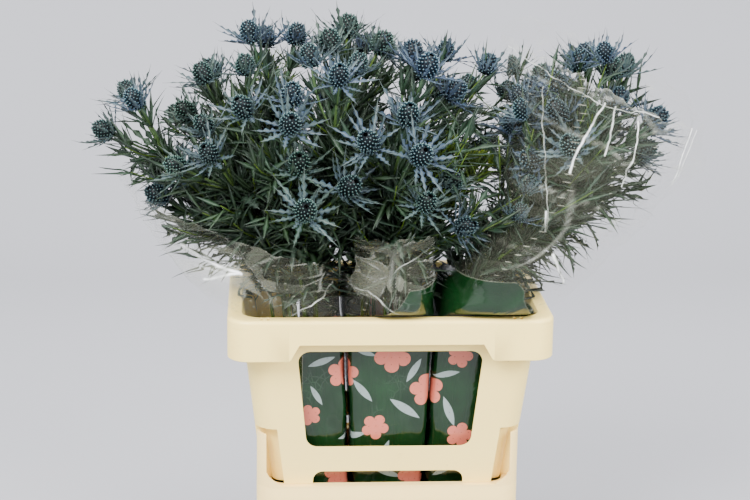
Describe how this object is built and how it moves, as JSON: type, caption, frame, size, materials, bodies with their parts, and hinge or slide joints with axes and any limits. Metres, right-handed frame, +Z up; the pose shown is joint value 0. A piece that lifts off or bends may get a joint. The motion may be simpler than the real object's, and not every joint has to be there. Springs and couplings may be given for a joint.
{
  "type": "flower trade container filled with cut sea holly in film sleeves",
  "caption": "Two-part plastic flower container with windows, holding branched sea holly sprays with spiny bracts in clear film sleeves.",
  "frame": {"origin": "centre of the water container's flat underside", "axes": "+Z up, -Y towards the front with its window, +X to the right as seen from the front"},
  "size_m": [0.753, 0.4255, 0.7667],
  "materials": {
    "bucket_plastic": "moulded, satin, slightly pinkish cream",
    "collar_plastic": "moulded, satin, cream",
    "water": "clear liquid",
    "film": "clear glossy film, printed dark green with salmon flowers near the bottom",
    "sea_holly": "waxy grey-blue cones and bracts, green leaves, yellow-green stems",
    "young_sea_holly": "lime green cones, grey-green bracts"
  },
  "bodies": {
    "root": {"bucket": "bucket_plastic", "collar": "collar_plastic", "water": "water", "sleeve_left": "film", "sleeve_centre": "film", "sleeve_right": "film", "spray_01": "sea_holly", "spray_02": "sea_holly", "spray_03": "sea_holly", "spray_04": "sea_holly", "spray_05": "sea_holly", "spray_06": "sea_holly", "spray_07": "sea_holly", "spray_08": "sea_holly", "spray_09": "sea_holly", "spray_10": "sea_holly", "spray_11": "sea_holly", "spray_12": "sea_holly", "spray_13": "sea_holly", "spray_14": "sea_holly", "spray_15": "sea_holly", "spray_16": "sea_holly", "spray_17": "sea_holly", "spray_18": "sea_holly", "spray_19": "sea_holly", "spray_20": "sea_holly", "spray_21": "sea_holly", "spray_22": "sea_holly", "spray_23": "sea_holly", "spray_24": "sea_holly", "spray_25": "sea_holly", "spray_26": "sea_holly", "young_spray_1": "young_sea_holly", "young_spray_2": "young_sea_holly"}
  },
  "joints": []
}
